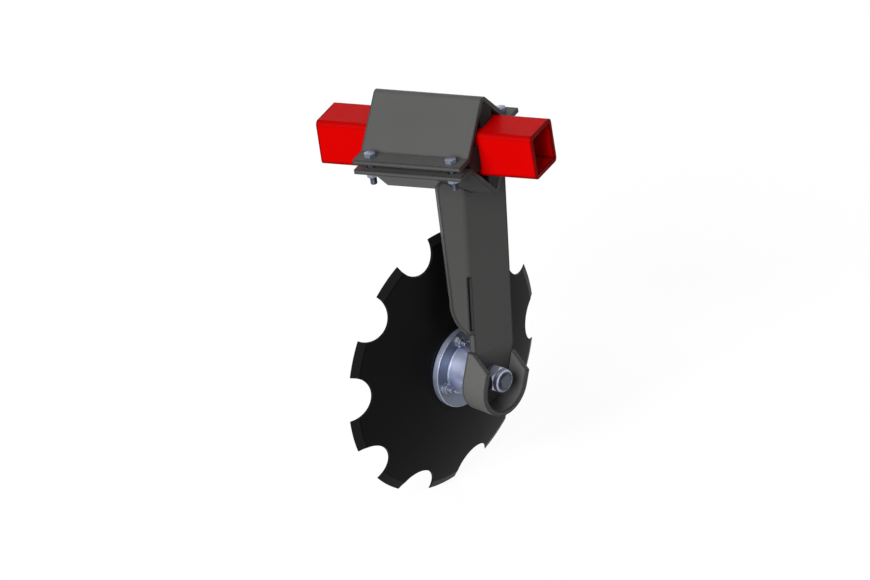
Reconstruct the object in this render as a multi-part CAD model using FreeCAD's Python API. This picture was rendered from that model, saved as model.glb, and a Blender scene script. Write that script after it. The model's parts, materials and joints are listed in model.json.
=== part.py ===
import FreeCAD, Part
import math
import os

from FreeCAD import Placement, Rotation, Vector

# Toothed disc on a rubber-sprung trailing arm, with the length of toolbar that carries it.
# Millimetres. +X runs along the toolbar, +Y is the way the machine drives, +Z is up.
# The origin is on the toolbar's axis, in the middle of its length.

# Toolbar
bar_side = 80.0
bar_wall = 8.0
bar_corner_radius = 8.0
bar_length = 400.0

# Clamp: two plates bent to a diamond round the toolbar and bolted along their flanges
clamp_length = 200.0
clamp_plate = 8.0
clamp_bend_radius = 4.0
clamp_half_gap = 5.0
bar_corner_clearance = 5.0
flange_land = 34.6
clamp_bolt_pitch = 150.0

# Rubber cords, one in each corner of the diamond
cord_contact_half_width = 20.0
cord_contact_radius = 5.0
cord_shoulder_half_width = 23.0
cord_shoulder_radius = 8.0
cord_apex_radius = 9.0

# Arm: one plate with a folded front flange and a bend at the foot
arm_plate = 12.0
arm_width = 91.5
arm_top_width = 95.0
arm_root_x = 56.6
arm_sweep = 14.6
arm_tilt = 12.0
arm_lean = 20.3
arm_top_rise = 53.0
fold_angle = 24.0
fold_inner_radius = 14.0
fold_offset = 19.0
flange_top_width = 43.0
flange_foot_width = 27.0
flange_taper_end = 176.0
flange_end_radius = 66.0
flange_corner_radius = 12.0
slot_width = 7.5
slot_top = 139.0
slot_length = 89.0
slot_bridge = 6.0
bend_centre_x = 27.6
bend_drop = 260.0
bend_skew = 12.2
bend_angle = 17.4
bend_inner_radius = 1.5

# Hub guard: a U of flat bar welded round the foot of the arm
hub_drop = 48.0
guard_thickness = 8.0
guard_depth = 50.0
guard_centre_drop = 6.0
guard_back_rise = 48.0
guard_front_rise = 24.0

# Spindle
spindle_diameter = 30.0
spindle_thread_diameter = 27.0
spindle_stick_out = 38.0
spindle_end_chamfer = 2.0
spindle_collar_diameter = 42.0
spindle_collar_length = 8.0
spindle_tip_diameter = 24.0
spindle_tip_length = 19.0
spindle_tip_chamfer = 1.5

# Ball bearings on the spindle
bearing_outer_diameter = 62.0
bearing_width = 16.0
bearing_distance = 24.0
ball_diameter = 9.2
ball_count = 9
race_thickness = 5.5
cage_thickness = 2.0
cage_rim = 1.2
spacer_wall = 3.0

# Hub. The bolt circle and the flange's rim are measured out from the body.
hub_body_diameter = 88.0
hub_body_to_bolts = 13.25
hub_bolts_to_rim = 12.75
hub_flange_thickness = 12.0
hub_body_length = 39.0
hub_end_gap = 3.0
hub_spigot_diameter = 80.0
hub_spigot_length = 16.0
hub_shoulder = 4.0
hub_root_chamfer = 2.0
hub_edge_chamfer = 1.0
hub_end_chamfer = 2.0
cap_wall = 2.0
cap_rim_diameter = 72.0
cap_height = 18.0
cap_seat_length = 4.0
cap_corner_radius = 6.0
seal_width = 4.5
seal_lip_share = 0.4

# Disc blade
disc_diameter = 460.0
disc_thickness = 4.0
disc_dish = 44.0
disc_seat_margin = 7.0
disc_edge_thickness = 1.0
disc_bevel_width = 14.0
notch_count = 10
notch_radius = 40.0
notch_phase = 14.5
disc_bolt_count = 4
disc_bolt_phase = 34.3
disc_bolt_length = 35.0

# Fasteners
clamp_bolt_length = 50.0
m12_diameter = 12.0
m12_hole_diameter = 13.0
m12_across_flats = 19.0
m12_head_height = 7.5
m12_nut_height = 10.0
m10_diameter = 10.0
m10_hole_diameter = 11.0
m10_across_flats = 17.0
m10_head_height = 6.4
m10_lock_nut_hex_height = 7.5
m10_lock_nut_height = 10.5
bolt_end_chamfer = 1.0
spindle_spacer_length = 10.0
spindle_spacer_wall = 4.0
spindle_nut_across_flats = 41.0
spindle_nut_hex_height = 15.0
spindle_nut_height = 24.5
spindle_nut_phase = 45.0
lock_nut_collar_share = 0.485
lock_nut_edge_share = 0.05
hex_chamfer_share = 0.475
hex_chamfer_angle = 30.0
nylon_ring_share = 0.84
bearing_nut_across_flats = 36.0
bearing_nut_height = 12.0
bearing_washer_thickness = 2.0
bearing_washer_diameter = 38.0
nylon_ring_depth = 5.0
nylon_ring_recess = 1.0

# Clearances
seat_gap = 0.3
fit_gap = 0.1
run_gap = 0.3
cut_margin = 1.0
arc_fit = 0.999

# Sizes worked out from the ones above
root_two = math.sqrt(2)
bar_half = bar_side / 2
bar_corner_reach = root_two * (bar_half - bar_corner_radius) + bar_corner_radius
clamp_face = bar_corner_reach + bar_corner_clearance
inner_apex = root_two * clamp_face
outer_apex = root_two * (clamp_face + clamp_plate)
inner_foot = inner_apex - clamp_half_gap
outer_foot = outer_apex - clamp_half_gap - clamp_plate
clamp_reach = outer_foot + flange_land
clamp_bolt_y = outer_foot + flange_land / 2
clamp_top = clamp_half_gap + clamp_plate
fold_outer_radius = fold_inner_radius + arm_plate
slot_foot = slot_top + slot_length
flange_foot = slot_foot + slot_bridge
hub_back = -arm_plate - hub_end_gap
flange_back = hub_back - hub_body_length
flange_face = flange_back - hub_flange_thickness
disc_back = flange_face - disc_thickness
spigot_end = flange_face - hub_spigot_length
collar_end = -arm_plate - spindle_collar_length
arm_bearing_low = collar_end - bearing_width
disc_bearing_high = arm_bearing_low - bearing_distance
disc_bearing_low = disc_bearing_high - bearing_width
spindle_end = disc_bearing_low - spindle_tip_length
ball_radius = ball_diameter / 2
ball_circle_radius = (spindle_diameter + bearing_outer_diameter) / 4
spindle_radius = spindle_diameter / 2
thread_radius = spindle_thread_diameter / 2
bore_radius = bearing_outer_diameter / 2
disc_bolt_circle = hub_body_diameter + 2 * hub_body_to_bolts
flange_radius = disc_bolt_circle / 2 + hub_bolts_to_rim
disc_seat_radius = flange_radius + disc_seat_margin

# Frames. In side_view, local x is +Y, local y is +Z and local z is +X.
x_axis = Vector(1, 0, 0)
y_axis = Vector(0, 1, 0)
z_axis = Vector(0, 0, 1)
origin = Vector(0, 0, 0)
side_view = Placement(origin, Rotation(y_axis, z_axis, x_axis, "XYZ"))


def shifted(x, y, z):
    """A frame moved by x, y and z without turning."""
    return Placement(Vector(x, y, z), Rotation())


def turned_about(point, axis, angle):
    """A frame moved to a point and turned about an axis through it, in degrees."""
    return Placement(point, Rotation(axis, angle))


# The arm's outer face: z is its outward normal, y runs up the arm, x forwards across it.
arm_turn = Rotation(z_axis, -arm_sweep) * Rotation(y_axis, -arm_tilt) * Rotation(x_axis, -arm_lean)
arm_frame = Placement(Vector(arm_root_x, 0, -outer_apex), arm_turn * side_view.Rotation)

# The folded flange's outer face, from the line where its flat begins.
fold_frame = (
    arm_frame
    * turned_about(Vector(-fold_offset, 0, -fold_outer_radius), y_axis, -fold_angle)
    * shifted(0, 0, fold_outer_radius)
)

# The bend at the foot runs across the arm, askew to it.
bend_point = Vector(bend_centre_x, -bend_drop, 0)
skew = math.radians(bend_skew)
bend_line = Vector(math.cos(skew), math.sin(skew), 0)
bend_section = arm_frame * turned_about(bend_point, z_axis, bend_skew) * side_view

# The hub: z is the disc's axis, pointing from the disc to the arm, and 0 is the foot's face.
foot_frame = arm_frame * turned_about(bend_point, bend_line, bend_angle)
hub_frame = foot_frame * shifted(0, -hub_drop, 0)


def outline(corners):
    """Face inside corners (x, y) or (x, y, radius), where a radius is a tangent arc."""
    points = [Vector(corner[0], corner[1], 0) for corner in corners]
    radii = [corner[2] if len(corner) > 2 else 0 for corner in corners]
    stops = []
    for index, point in enumerate(points):
        back = (points[index - 1] - point).normalize()
        ahead = (points[(index + 1) % len(points)] - point).normalize()
        if radii[index] == 0:
            stops.append((point, None, point))
            continue
        half_angle = back.getAngle(ahead) / 2
        reach = radii[index] / math.tan(half_angle)
        crown = radii[index] / math.sin(half_angle) - radii[index]
        middle = point + (back + ahead).normalize() * crown
        stops.append((point + back * reach, middle, point + ahead * reach))
    edges = []
    for index, (start, middle, end) in enumerate(stops):
        if middle is not None:
            edges.append(Part.Arc(start, middle, end).toShape())
        following = stops[(index + 1) % len(stops)][0]
        if end.distanceToPoint(following) > 1e-4:
            edges.append(Part.LineSegment(end, following).toShape())
    return Part.Face(Part.Wire(edges))


def placed(shape, frame):
    """The shape carried from its own frame into the given one."""
    shape.Placement = frame * shape.Placement
    return shape


def prism(corners, low, high, frame=Placement()):
    """Solid of an outline between two heights along the frame's z."""
    solid = outline(corners).extrude(Vector(0, 0, high - low))
    solid.translate(Vector(0, 0, low))
    return placed(solid, frame)


def lathe(profile, frame=Placement()):
    """Solid of a profile of (radius, height) corners turned about the frame's z."""
    face = outline(profile)
    face.rotate(origin, x_axis, 90)
    return placed(face.revolve(origin, z_axis, 360), frame)


def bent_strip(path, thickness, inner_radius):
    """Corners of a bent plate's section. The path is one side, and the plate is on its left."""
    outer_radius = inner_radius + thickness
    near = []
    far = []
    for index, (x, y) in enumerate(path):
        point = Vector(x, y, 0)
        before = Vector(*path[max(index - 1, 0)], 0)
        after = Vector(*path[min(index + 1, len(path) - 1)], 0)
        way_in = (point - before) if index > 0 else (after - point)
        way_out = (after - point) if index < len(path) - 1 else way_in
        side_in = z_axis.cross(way_in).normalize()
        side_out = z_axis.cross(way_out).normalize()
        offset = (side_in + side_out) * (thickness / (1 + side_in.dot(side_out)))
        turn = way_in.cross(way_out).z
        end = index in (0, len(path) - 1)
        near_radius = 0 if end else (outer_radius if turn > 0 else inner_radius)
        far_radius = 0 if end else (inner_radius if turn > 0 else outer_radius)
        near.append((x, y, near_radius))
        far.append((x + offset.x, y + offset.y, far_radius))
    return near + far[::-1]


def hexagon(across_flats):
    """Corners of a hexagon centred on the frame's z."""
    corner_radius = across_flats / math.sqrt(3)
    angles = [math.radians(60 * step) for step in range(6)]
    return [(corner_radius * math.cos(angle), corner_radius * math.sin(angle)) for angle in angles]


def hex_block(across_flats, height):
    """Hexagonal block from 0 to the height, with its top corners chamfered."""
    block = prism(hexagon(across_flats), 0, height)
    corner_radius = across_flats / math.sqrt(3) + fit_gap
    chamfer_start = across_flats * hex_chamfer_share
    chamfer_drop = (corner_radius - chamfer_start) * math.tan(math.radians(hex_chamfer_angle))
    rounder = [
        (0, 0),
        (corner_radius, 0),
        (corner_radius, height - chamfer_drop),
        (chamfer_start, height),
        (0, height),
    ]
    return block.common(lathe(rounder))


def rod(diameter, low, high, chamfer=0.0):
    """Round bar along z, chamfered at its low end."""
    radius = diameter / 2
    return lathe([(0, low), (radius - chamfer, low), (radius, low + chamfer), (radius, high), (0, high)])


def hex_bolt(diameter, across_flats, head_height, length):
    """Hexagon bolt whose head sits on z = 0 and whose shank runs down."""
    shank = rod(diameter, -length, head_height / 2, bolt_end_chamfer)
    return hex_block(across_flats, head_height).fuse(shank).removeSplitter()


def plain_nut():
    """Hexagon nut that sits on z = 0."""
    hole = Part.makeCylinder(m12_diameter / 2 + fit_gap, m12_nut_height)
    return hex_block(m12_across_flats, m12_nut_height).cut(hole)


def lock_nut(across_flats, hex_height, height, hole_diameter, ring_depth=0.0):
    """Self-locking nut that sits on z = 0: a hexagon under a round collar."""
    collar_radius = across_flats * lock_nut_collar_share
    edge = across_flats * lock_nut_edge_share
    collar = lathe([
        (0, hex_height / 2),
        (collar_radius, hex_height / 2),
        (collar_radius, height - edge),
        (collar_radius - edge, height),
        (0, height),
    ])
    nut = hex_block(across_flats, hex_height).fuse(collar)
    nut = nut.cut(Part.makeCylinder(hole_diameter / 2 + fit_gap, height))
    if ring_depth > 0:
        recess = Part.makeCylinder(
            collar_radius * nylon_ring_share, ring_depth, Vector(0, 0, height - ring_depth)
        )
        nut = nut.cut(recess)
    return nut.removeSplitter()


def round_pattern(piece, count, radius, phase):
    """Copies of a piece on a circle about z, the first one at the phase angle."""
    copies = []
    for index in range(count):
        copy = piece.copy()
        copy.translate(Vector(radius, 0, 0))
        copy.rotate(origin, z_axis, phase + 360 * index / count)
        copies.append(copy)
    return copies


def four_corners(piece, height):
    """Copies of a clamp fastener at the four corners of the clamp's flanges."""
    copies = []
    for x in (-clamp_bolt_pitch / 2, clamp_bolt_pitch / 2):
        for y in (-clamp_bolt_y, clamp_bolt_y):
            copy = piece.copy()
            copy.translate(Vector(x, y, height))
            copies.append(copy)
    return copies


def toolbar():
    """Square hollow section with rounded outer corners."""
    inner_half = bar_half - bar_wall
    signs = ((-1, -1), (1, -1), (1, 1), (-1, 1))
    outer = [(sx * bar_half, sy * bar_half, bar_corner_radius) for sx, sy in signs]
    inner = [(sx * inner_half, sy * inner_half) for sx, sy in signs]
    tube = prism(outer, -bar_length / 2, bar_length / 2, side_view)
    return tube.cut(prism(inner, -bar_length / 2, bar_length / 2, side_view))


def clamp_half(upside_down):
    """One bent clamp plate with its four bolt holes."""
    path = [
        (-clamp_reach, clamp_half_gap),
        (-inner_foot, clamp_half_gap),
        (0, inner_apex),
        (inner_foot, clamp_half_gap),
        (clamp_reach, clamp_half_gap),
    ]
    section = bent_strip(path, clamp_plate, clamp_bend_radius)
    plate = prism(section, -clamp_length / 2, clamp_length / 2, side_view)
    hole = Part.makeCylinder(m12_hole_diameter / 2, clamp_plate)
    for cutter in four_corners(hole, clamp_half_gap):
        plate = plate.cut(cutter)
    if upside_down:
        plate.rotate(origin, x_axis, 180)
    return plate


def rubber_cord(angle):
    """Squeezed rubber cord between the toolbar's flat and a corner of the clamp."""
    wall = inner_apex - root_two * seat_gap
    shoulder_height = wall - cord_shoulder_half_width
    contact_height = bar_half + seat_gap
    section = [
        (-cord_contact_half_width, contact_height, cord_contact_radius),
        (cord_contact_half_width, contact_height, cord_contact_radius),
        (cord_shoulder_half_width, shoulder_height, cord_shoulder_radius),
        (0, wall, cord_apex_radius),
        (-cord_shoulder_half_width, shoulder_height, cord_shoulder_radius),
    ]
    cord = prism(section, -clamp_length / 2, clamp_length / 2, side_view)
    cord.rotate(origin, x_axis, angle)
    return cord


def clamp_underside():
    """The space above the clamp's lower faces, which the arm's top edge is cut to fit."""
    far = 2 * clamp_reach
    low = -clamp_top - seat_gap
    apex = -outer_apex - root_two * seat_gap
    foot = -apex + low
    bend_radius = clamp_bend_radius + clamp_plate
    section = [(-far, low), (-foot, low), (0, apex, bend_radius), (foot, low), (far, low), (far, far), (-far, far)]
    return prism(section, -bar_length, bar_length, side_view)


def rise_to_clamp(frame, x):
    """Height along the frame's y where a plate's edge line meets the clamp's rear slope."""
    slope = Vector(0, -1, -1).normalize()
    across = frame.Rotation.multVec(x_axis).dot(slope)
    up = frame.Rotation.multVec(y_axis).dot(slope)
    through = frame.Rotation.multVec(z_axis).dot(slope)
    distance = clamp_face + clamp_plate - frame.Base.dot(slope)
    faces = [(distance - x * across - z * through) / up for z in (0, -arm_plate)]
    return max(faces)


def arm():
    """Arm plate: web, folded front flange with a relief slot, and foot bent to the disc's plane."""
    stock = 2 * bend_drop
    angle = math.radians(bend_angle)
    path = [(stock, 0), (0, 0), (-stock * math.cos(angle), -stock * math.sin(angle))]
    sheet = prism(bent_strip(path, arm_plate, bend_inner_radius), -stock, stock, bend_section)

    half_width = arm_width / 2
    front = bend_centre_x - half_width
    rear = bend_centre_x + half_width
    front_foot = -bend_drop - half_width * math.tan(skew)
    rear_foot = -bend_drop + half_width * math.tan(skew)
    web = prism([
        (-fold_offset, arm_top_rise),
        (-fold_offset, -flange_foot),
        (front, -flange_foot - arm_plate / 2),
        (front, front_foot),
        (rear, rear_foot),
        (arm_top_width - fold_offset, arm_top_rise),
    ], -stock, stock, arm_frame)

    centre = -hub_drop - guard_centre_drop
    foot = prism([
        (-half_width, -half_width * math.tan(skew)),
        (-half_width, centre - half_width, half_width),
        (half_width, centre - half_width, half_width),
        (half_width, half_width * math.tan(skew)),
    ], -stock, stock, foot_frame)
    plate = sheet.common(web.fuse(foot))

    band_top = rise_to_clamp(arm_frame, -fold_offset - fold_outer_radius)
    band_face = outline([
        (-arm_plate, -flange_foot),
        (0, -flange_foot),
        (0, band_top),
        (-arm_plate, band_top),
    ])
    band_face.Placement = Placement(origin, Rotation(z_axis, y_axis, x_axis * -1, "XYZ"))
    band = band_face.revolve(Vector(0, 0, -fold_outer_radius), y_axis, -fold_angle)
    placed(band, arm_frame * shifted(-fold_offset, 0, 0))

    end_turn = math.acos(1 - flange_foot_width / flange_end_radius)
    corner_drop = flange_end_radius * math.tan(end_turn / 2)
    flange = prism([
        (0, rise_to_clamp(fold_frame, 0)),
        (-flange_top_width, rise_to_clamp(fold_frame, -flange_top_width), flange_corner_radius),
        (-flange_foot_width, -flange_taper_end),
        (-flange_foot_width, -flange_taper_end - corner_drop, flange_end_radius * arc_fit),
        (0, -flange_foot),
    ], -arm_plate, 0, fold_frame)

    slot = prism([
        (-fold_offset - slot_width, -slot_foot),
        (-fold_offset, -slot_foot),
        (-fold_offset, -slot_top),
        (-fold_offset - slot_width, -slot_top),
    ], -2 * arm_plate, arm_plate, arm_frame)
    spindle_hole = placed(
        Part.makeCylinder(thread_radius + fit_gap, 4 * arm_plate, Vector(0, 0, -2 * arm_plate)), hub_frame
    )
    folded = plate.fuse([band, flange]).cut([slot, clamp_underside(), spindle_hole])
    return folded.removeSplitter()


def hub_guard():
    """U of flat bar round the arm's foot, open at the top, its two ends cut to a slope."""
    inner = arm_width / 2 + seat_gap
    outer = inner + guard_thickness
    centre = -guard_centre_drop
    top = centre + guard_back_rise
    low = -arm_plate
    high = guard_depth - arm_plate
    u_shape = prism([
        (-outer, top),
        (-outer, centre - outer, outer),
        (outer, centre - outer, outer),
        (outer, top),
    ], low, high)
    hollow = prism([
        (-inner, top + cut_margin),
        (-inner, centre - inner, inner),
        (inner, centre - inner, inner),
        (inner, top + cut_margin),
    ], low, high)
    slope = prism([
        (top + cut_margin, 0),
        (top, 0),
        (centre + guard_front_rise, high),
        (centre + guard_front_rise, high + cut_margin),
        (top + cut_margin, high + cut_margin),
    ], -2 * outer, 2 * outer, side_view)
    return placed(u_shape.cut([hollow, slope]), hub_frame)


def spindle():
    """Stub axle: threaded end through the arm's foot, collar, bearing seats and threaded tip."""
    tip_radius = spindle_tip_diameter / 2
    step = disc_bearing_low + bearing_washer_thickness / 2
    return lathe([
        (0, spindle_end),
        (tip_radius - spindle_tip_chamfer, spindle_end),
        (tip_radius, spindle_end + spindle_tip_chamfer),
        (tip_radius, step),
        (spindle_radius, step),
        (spindle_radius, collar_end),
        (spindle_collar_diameter / 2, collar_end),
        (spindle_collar_diameter / 2, -arm_plate),
        (thread_radius, -arm_plate),
        (thread_radius, spindle_stick_out - spindle_end_chamfer),
        (thread_radius - spindle_end_chamfer, spindle_stick_out),
        (0, spindle_stick_out),
    ], hub_frame)


def race_groove(low):
    """Ring of the balls' path, which both races and the cage's pockets are cut by."""
    middle = low + bearing_width / 2
    return Part.makeTorus(ball_circle_radius, ball_radius + run_gap, Vector(0, 0, middle))


def inner_race(low):
    """Inner bearing ring on the spindle."""
    bore = spindle_radius + fit_gap
    ring = lathe([
        (bore, low),
        (spindle_radius + race_thickness, low),
        (spindle_radius + race_thickness, low + bearing_width),
        (bore, low + bearing_width),
    ])
    return placed(ring.cut(race_groove(low)), hub_frame)


def outer_race(low):
    """Outer bearing ring in the hub's bore."""
    outside = bore_radius - fit_gap
    ring = lathe([
        (bore_radius - race_thickness, low),
        (outside, low),
        (outside, low + bearing_width),
        (bore_radius - race_thickness, low + bearing_width),
    ])
    return placed(ring.cut(race_groove(low)), hub_frame)


def balls(low):
    """The balls of one bearing."""
    ball = Part.makeSphere(ball_radius, Vector(0, 0, low + bearing_width / 2))
    return placed(Part.Compound(round_pattern(ball, ball_count, ball_circle_radius, 0)), hub_frame)


def ball_cage(low):
    """Ring with a pocket for each ball."""
    middle = low + bearing_width / 2
    pocket_radius = ball_radius + run_gap
    reach = pocket_radius + cage_rim
    cage = lathe([
        (ball_circle_radius - cage_thickness / 2, middle - reach),
        (ball_circle_radius + cage_thickness / 2, middle - reach),
        (ball_circle_radius + cage_thickness / 2, middle + reach),
        (ball_circle_radius - cage_thickness / 2, middle + reach),
    ])
    pocket = Part.makeSphere(pocket_radius, Vector(0, 0, middle))
    return placed(cage.cut(round_pattern(pocket, ball_count, ball_circle_radius, 0)), hub_frame)


def bearing_spacer():
    """Sleeve between the two inner races."""
    bore = spindle_radius + fit_gap
    return lathe([
        (bore, disc_bearing_high),
        (bore + spacer_wall, disc_bearing_high),
        (bore + spacer_wall, arm_bearing_low),
        (bore, arm_bearing_low),
    ], hub_frame)


def bearing_washer():
    """Washer that holds the disc-side inner race."""
    bore = spindle_tip_diameter / 2 + fit_gap
    low = disc_bearing_low - bearing_washer_thickness
    return lathe([
        (bore, low),
        (bearing_washer_diameter / 2, low),
        (bearing_washer_diameter / 2, disc_bearing_low),
        (bore, disc_bearing_low),
    ], hub_frame)


def bearing_nut():
    """Nut on the spindle's tip, under the dust cap."""
    nut = hex_block(bearing_nut_across_flats, bearing_nut_height)
    nut = nut.cut(Part.makeCylinder(spindle_tip_diameter / 2 + fit_gap, bearing_nut_height))
    nut.rotate(origin, x_axis, 180)
    nut.translate(Vector(0, 0, disc_bearing_low - bearing_washer_thickness))
    return placed(nut, hub_frame)


def spindle_spacer():
    """Sleeve between the arm's foot and the spindle's nut."""
    bore = thread_radius + fit_gap
    return lathe([
        (bore, 0),
        (bore + spindle_spacer_wall, 0),
        (bore + spindle_spacer_wall, spindle_spacer_length),
        (bore, spindle_spacer_length),
    ], hub_frame)


def spindle_nut():
    """Self-locking nut that pulls the spindle's collar against the arm's foot."""
    nut = lock_nut(
        spindle_nut_across_flats,
        spindle_nut_hex_height,
        spindle_nut_height,
        spindle_thread_diameter,
        nylon_ring_depth,
    )
    nut.rotate(origin, z_axis, spindle_nut_phase)
    nut.translate(Vector(0, 0, spindle_spacer_length))
    return placed(nut, hub_frame)


def nylon_ring():
    """Locking ring in the collar of the spindle nut."""
    outside = spindle_nut_across_flats * lock_nut_collar_share * nylon_ring_share - fit_gap
    inside = thread_radius + fit_gap
    low = spindle_spacer_length + spindle_nut_height - nylon_ring_depth
    high = low + nylon_ring_depth - nylon_ring_recess
    return lathe([(inside, low), (outside, low), (outside, high), (inside, high)], hub_frame)


def hub_housing():
    """Hub: flange for the disc, body over the arm-side bearing, spigot through the disc."""
    body_radius = hub_body_diameter / 2
    shoulder_radius = bore_radius - hub_shoulder
    housing = lathe([
        (shoulder_radius, disc_bearing_high),
        (bore_radius, disc_bearing_high),
        (bore_radius, spigot_end),
        (hub_spigot_diameter / 2, spigot_end),
        (hub_spigot_diameter / 2, flange_face),
        (flange_radius - hub_edge_chamfer, flange_face),
        (flange_radius, flange_face + hub_edge_chamfer),
        (flange_radius, flange_back - hub_edge_chamfer),
        (flange_radius - hub_edge_chamfer, flange_back),
        (body_radius + hub_root_chamfer, flange_back),
        (body_radius, flange_back + hub_root_chamfer),
        (body_radius, hub_back - hub_end_chamfer),
        (body_radius - hub_end_chamfer, hub_back),
        (bore_radius, hub_back),
        (bore_radius, arm_bearing_low),
        (shoulder_radius, arm_bearing_low),
    ])
    hole = Part.makeCylinder(m10_hole_diameter / 2, hub_flange_thickness, Vector(0, 0, flange_face))
    holes = round_pattern(hole, disc_bolt_count, disc_bolt_circle / 2, disc_bolt_phase)
    return placed(housing.cut(holes), hub_frame)


def hub_seal():
    """Lip seal in the hub's mouth, running on the spindle's collar."""
    inside = spindle_collar_diameter / 2 + run_gap
    outside = bore_radius - fit_gap
    low = hub_back - seal_width
    lip = seal_width * seal_lip_share
    return lathe([
        (inside, low),
        (inside + lip, low),
        (inside + 2 * lip, hub_back - lip),
        (outside - lip, hub_back - lip),
        (outside - lip, low),
        (outside, low),
        (outside, hub_back - fit_gap),
        (inside, hub_back - fit_gap),
    ], hub_frame)


def dust_cap():
    """Pressed cap in the spigot's bore, over the spindle's tip."""
    outside = bore_radius - fit_gap
    inside = outside - cap_wall
    rim = cap_rim_diameter / 2
    top = spigot_end + cap_seat_length
    face = spigot_end - cap_wall
    end = spigot_end - cap_height
    return lathe([
        (inside, top),
        (inside, end + cap_wall, cap_corner_radius),
        (0, end + cap_wall),
        (0, end),
        (outside, end, cap_corner_radius + cap_wall),
        (outside, face),
        (rim, face),
        (rim, spigot_end),
        (outside, spigot_end),
        (outside, top),
    ], hub_frame)


def disc_blade():
    """Dished blade: flat seat, spherical dish, rim bevelled on the convex side, round notches."""
    rim_radius = disc_diameter / 2
    rim_height = flange_face - disc_dish
    # The concave sphere passes through the edge of the seat and the cutting edge.
    fall = disc_back - rim_height
    depth_to_centre = (rim_radius ** 2 - disc_seat_radius ** 2 + fall ** 2) / (2 * fall)
    sphere_centre = disc_back - depth_to_centre
    concave_radius = math.hypot(depth_to_centre, disc_seat_radius)
    convex_radius = concave_radius + disc_thickness

    def on_sphere(radius, sphere_radius):
        return Vector(radius, 0, sphere_centre + math.sqrt(sphere_radius ** 2 - radius ** 2))

    convex_seat = disc_seat_radius * convex_radius / concave_radius
    bevel_start = rim_radius - disc_bevel_width
    middle_radius = (disc_seat_radius + rim_radius) / 2
    inner_edge = on_sphere(disc_seat_radius, concave_radius)
    outer_edge = on_sphere(convex_seat, convex_radius)
    cutting_edge = on_sphere(rim_radius, concave_radius)
    bevel_top = on_sphere(bevel_start, convex_radius)
    edge_top = cutting_edge + Vector(0, 0, disc_edge_thickness)
    hole_radius = hub_spigot_diameter / 2 + fit_gap
    seat_face = Vector(hole_radius, 0, outer_edge.z)
    seat_back = Vector(hole_radius, 0, inner_edge.z)
    section = Part.Wire([
        Part.LineSegment(seat_back, inner_edge).toShape(),
        Part.Arc(inner_edge, on_sphere(middle_radius, concave_radius), cutting_edge).toShape(),
        Part.LineSegment(cutting_edge, edge_top).toShape(),
        Part.LineSegment(edge_top, bevel_top).toShape(),
        Part.Arc(bevel_top, on_sphere(middle_radius, convex_radius), outer_edge).toShape(),
        Part.LineSegment(outer_edge, seat_face).toShape(),
        Part.LineSegment(seat_face, seat_back).toShape(),
    ])
    blade = Part.Face(section).revolve(origin, z_axis, 360)
    blade.translate(Vector(0, 0, flange_face - outer_edge.z))

    notch = Part.makeCylinder(notch_radius, 2 * disc_dish, Vector(0, 0, rim_height - disc_dish / 2))
    hole = Part.makeCylinder(m10_hole_diameter / 2, 2 * disc_dish, Vector(0, 0, rim_height))
    cutters = round_pattern(notch, notch_count, rim_radius, notch_phase)
    cutters += round_pattern(hole, disc_bolt_count, disc_bolt_circle / 2, disc_bolt_phase)
    return placed(blade.cut(cutters), hub_frame)


def disc_bolts():
    """Bolts through the blade and the hub's flange, heads on the concave side."""
    bolt = hex_bolt(m10_diameter, m10_across_flats, m10_head_height, disc_bolt_length)
    bolt.rotate(origin, x_axis, 180)
    bolt.translate(Vector(0, 0, disc_back))
    pattern = round_pattern(bolt, disc_bolt_count, disc_bolt_circle / 2, disc_bolt_phase)
    return placed(Part.Compound(pattern), hub_frame)


def disc_nuts():
    """Self-locking nuts on the arm side of the hub's flange."""
    nut = lock_nut(m10_across_flats, m10_lock_nut_hex_height, m10_lock_nut_height, m10_diameter)
    nut.translate(Vector(0, 0, flange_back))
    pattern = round_pattern(nut, disc_bolt_count, disc_bolt_circle / 2, disc_bolt_phase)
    return placed(Part.Compound(pattern), hub_frame)


def clamp_bolts():
    """Bolts through the flanges of both clamp plates, heads on top."""
    bolt = hex_bolt(m12_diameter, m12_across_flats, m12_head_height, clamp_bolt_length)
    return Part.Compound(four_corners(bolt, clamp_top))


def clamp_nuts():
    """Nuts under the lower flanges."""
    nut = plain_nut()
    nut.rotate(origin, x_axis, 180)
    return Part.Compound(four_corners(nut, -clamp_top))


pieces = {
    "toolbar": toolbar(),
    "clamp_upper": clamp_half(upside_down=False),
    "clamp_lower": clamp_half(upside_down=True),
    "rubber_cord_top": rubber_cord(0),
    "rubber_cord_rear": rubber_cord(90),
    "rubber_cord_bottom": rubber_cord(180),
    "rubber_cord_front": rubber_cord(270),
    "clamp_bolts": clamp_bolts(),
    "clamp_nuts": clamp_nuts(),
    "arm_plate": arm(),
    "hub_guard": hub_guard(),
    "spindle": spindle(),
    "spindle_spacer": spindle_spacer(),
    "spindle_nut": spindle_nut(),
    "nylon_ring": nylon_ring(),
    "inner_race_arm_side": inner_race(arm_bearing_low),
    "inner_race_disc_side": inner_race(disc_bearing_low),
    "bearing_spacer": bearing_spacer(),
    "bearing_washer": bearing_washer(),
    "bearing_nut": bearing_nut(),
    "balls_arm_side": balls(arm_bearing_low),
    "balls_disc_side": balls(disc_bearing_low),
    "ball_cage_arm_side": ball_cage(arm_bearing_low),
    "ball_cage_disc_side": ball_cage(disc_bearing_low),
    "outer_race_arm_side": outer_race(arm_bearing_low),
    "outer_race_disc_side": outer_race(disc_bearing_low),
    "hub_housing": hub_housing(),
    "hub_seal": hub_seal(),
    "dust_cap": dust_cap(),
    "disc_blade": disc_blade(),
    "disc_bolts": disc_bolts(),
    "disc_nuts": disc_nuts(),
}

os.makedirs("parts", exist_ok=True)
for name, shape in pieces.items():
    shape.exportStep("parts/" + name + ".step")
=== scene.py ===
import json
import math

import bmesh
import bpy
from mathutils import Matrix, Vector


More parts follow.
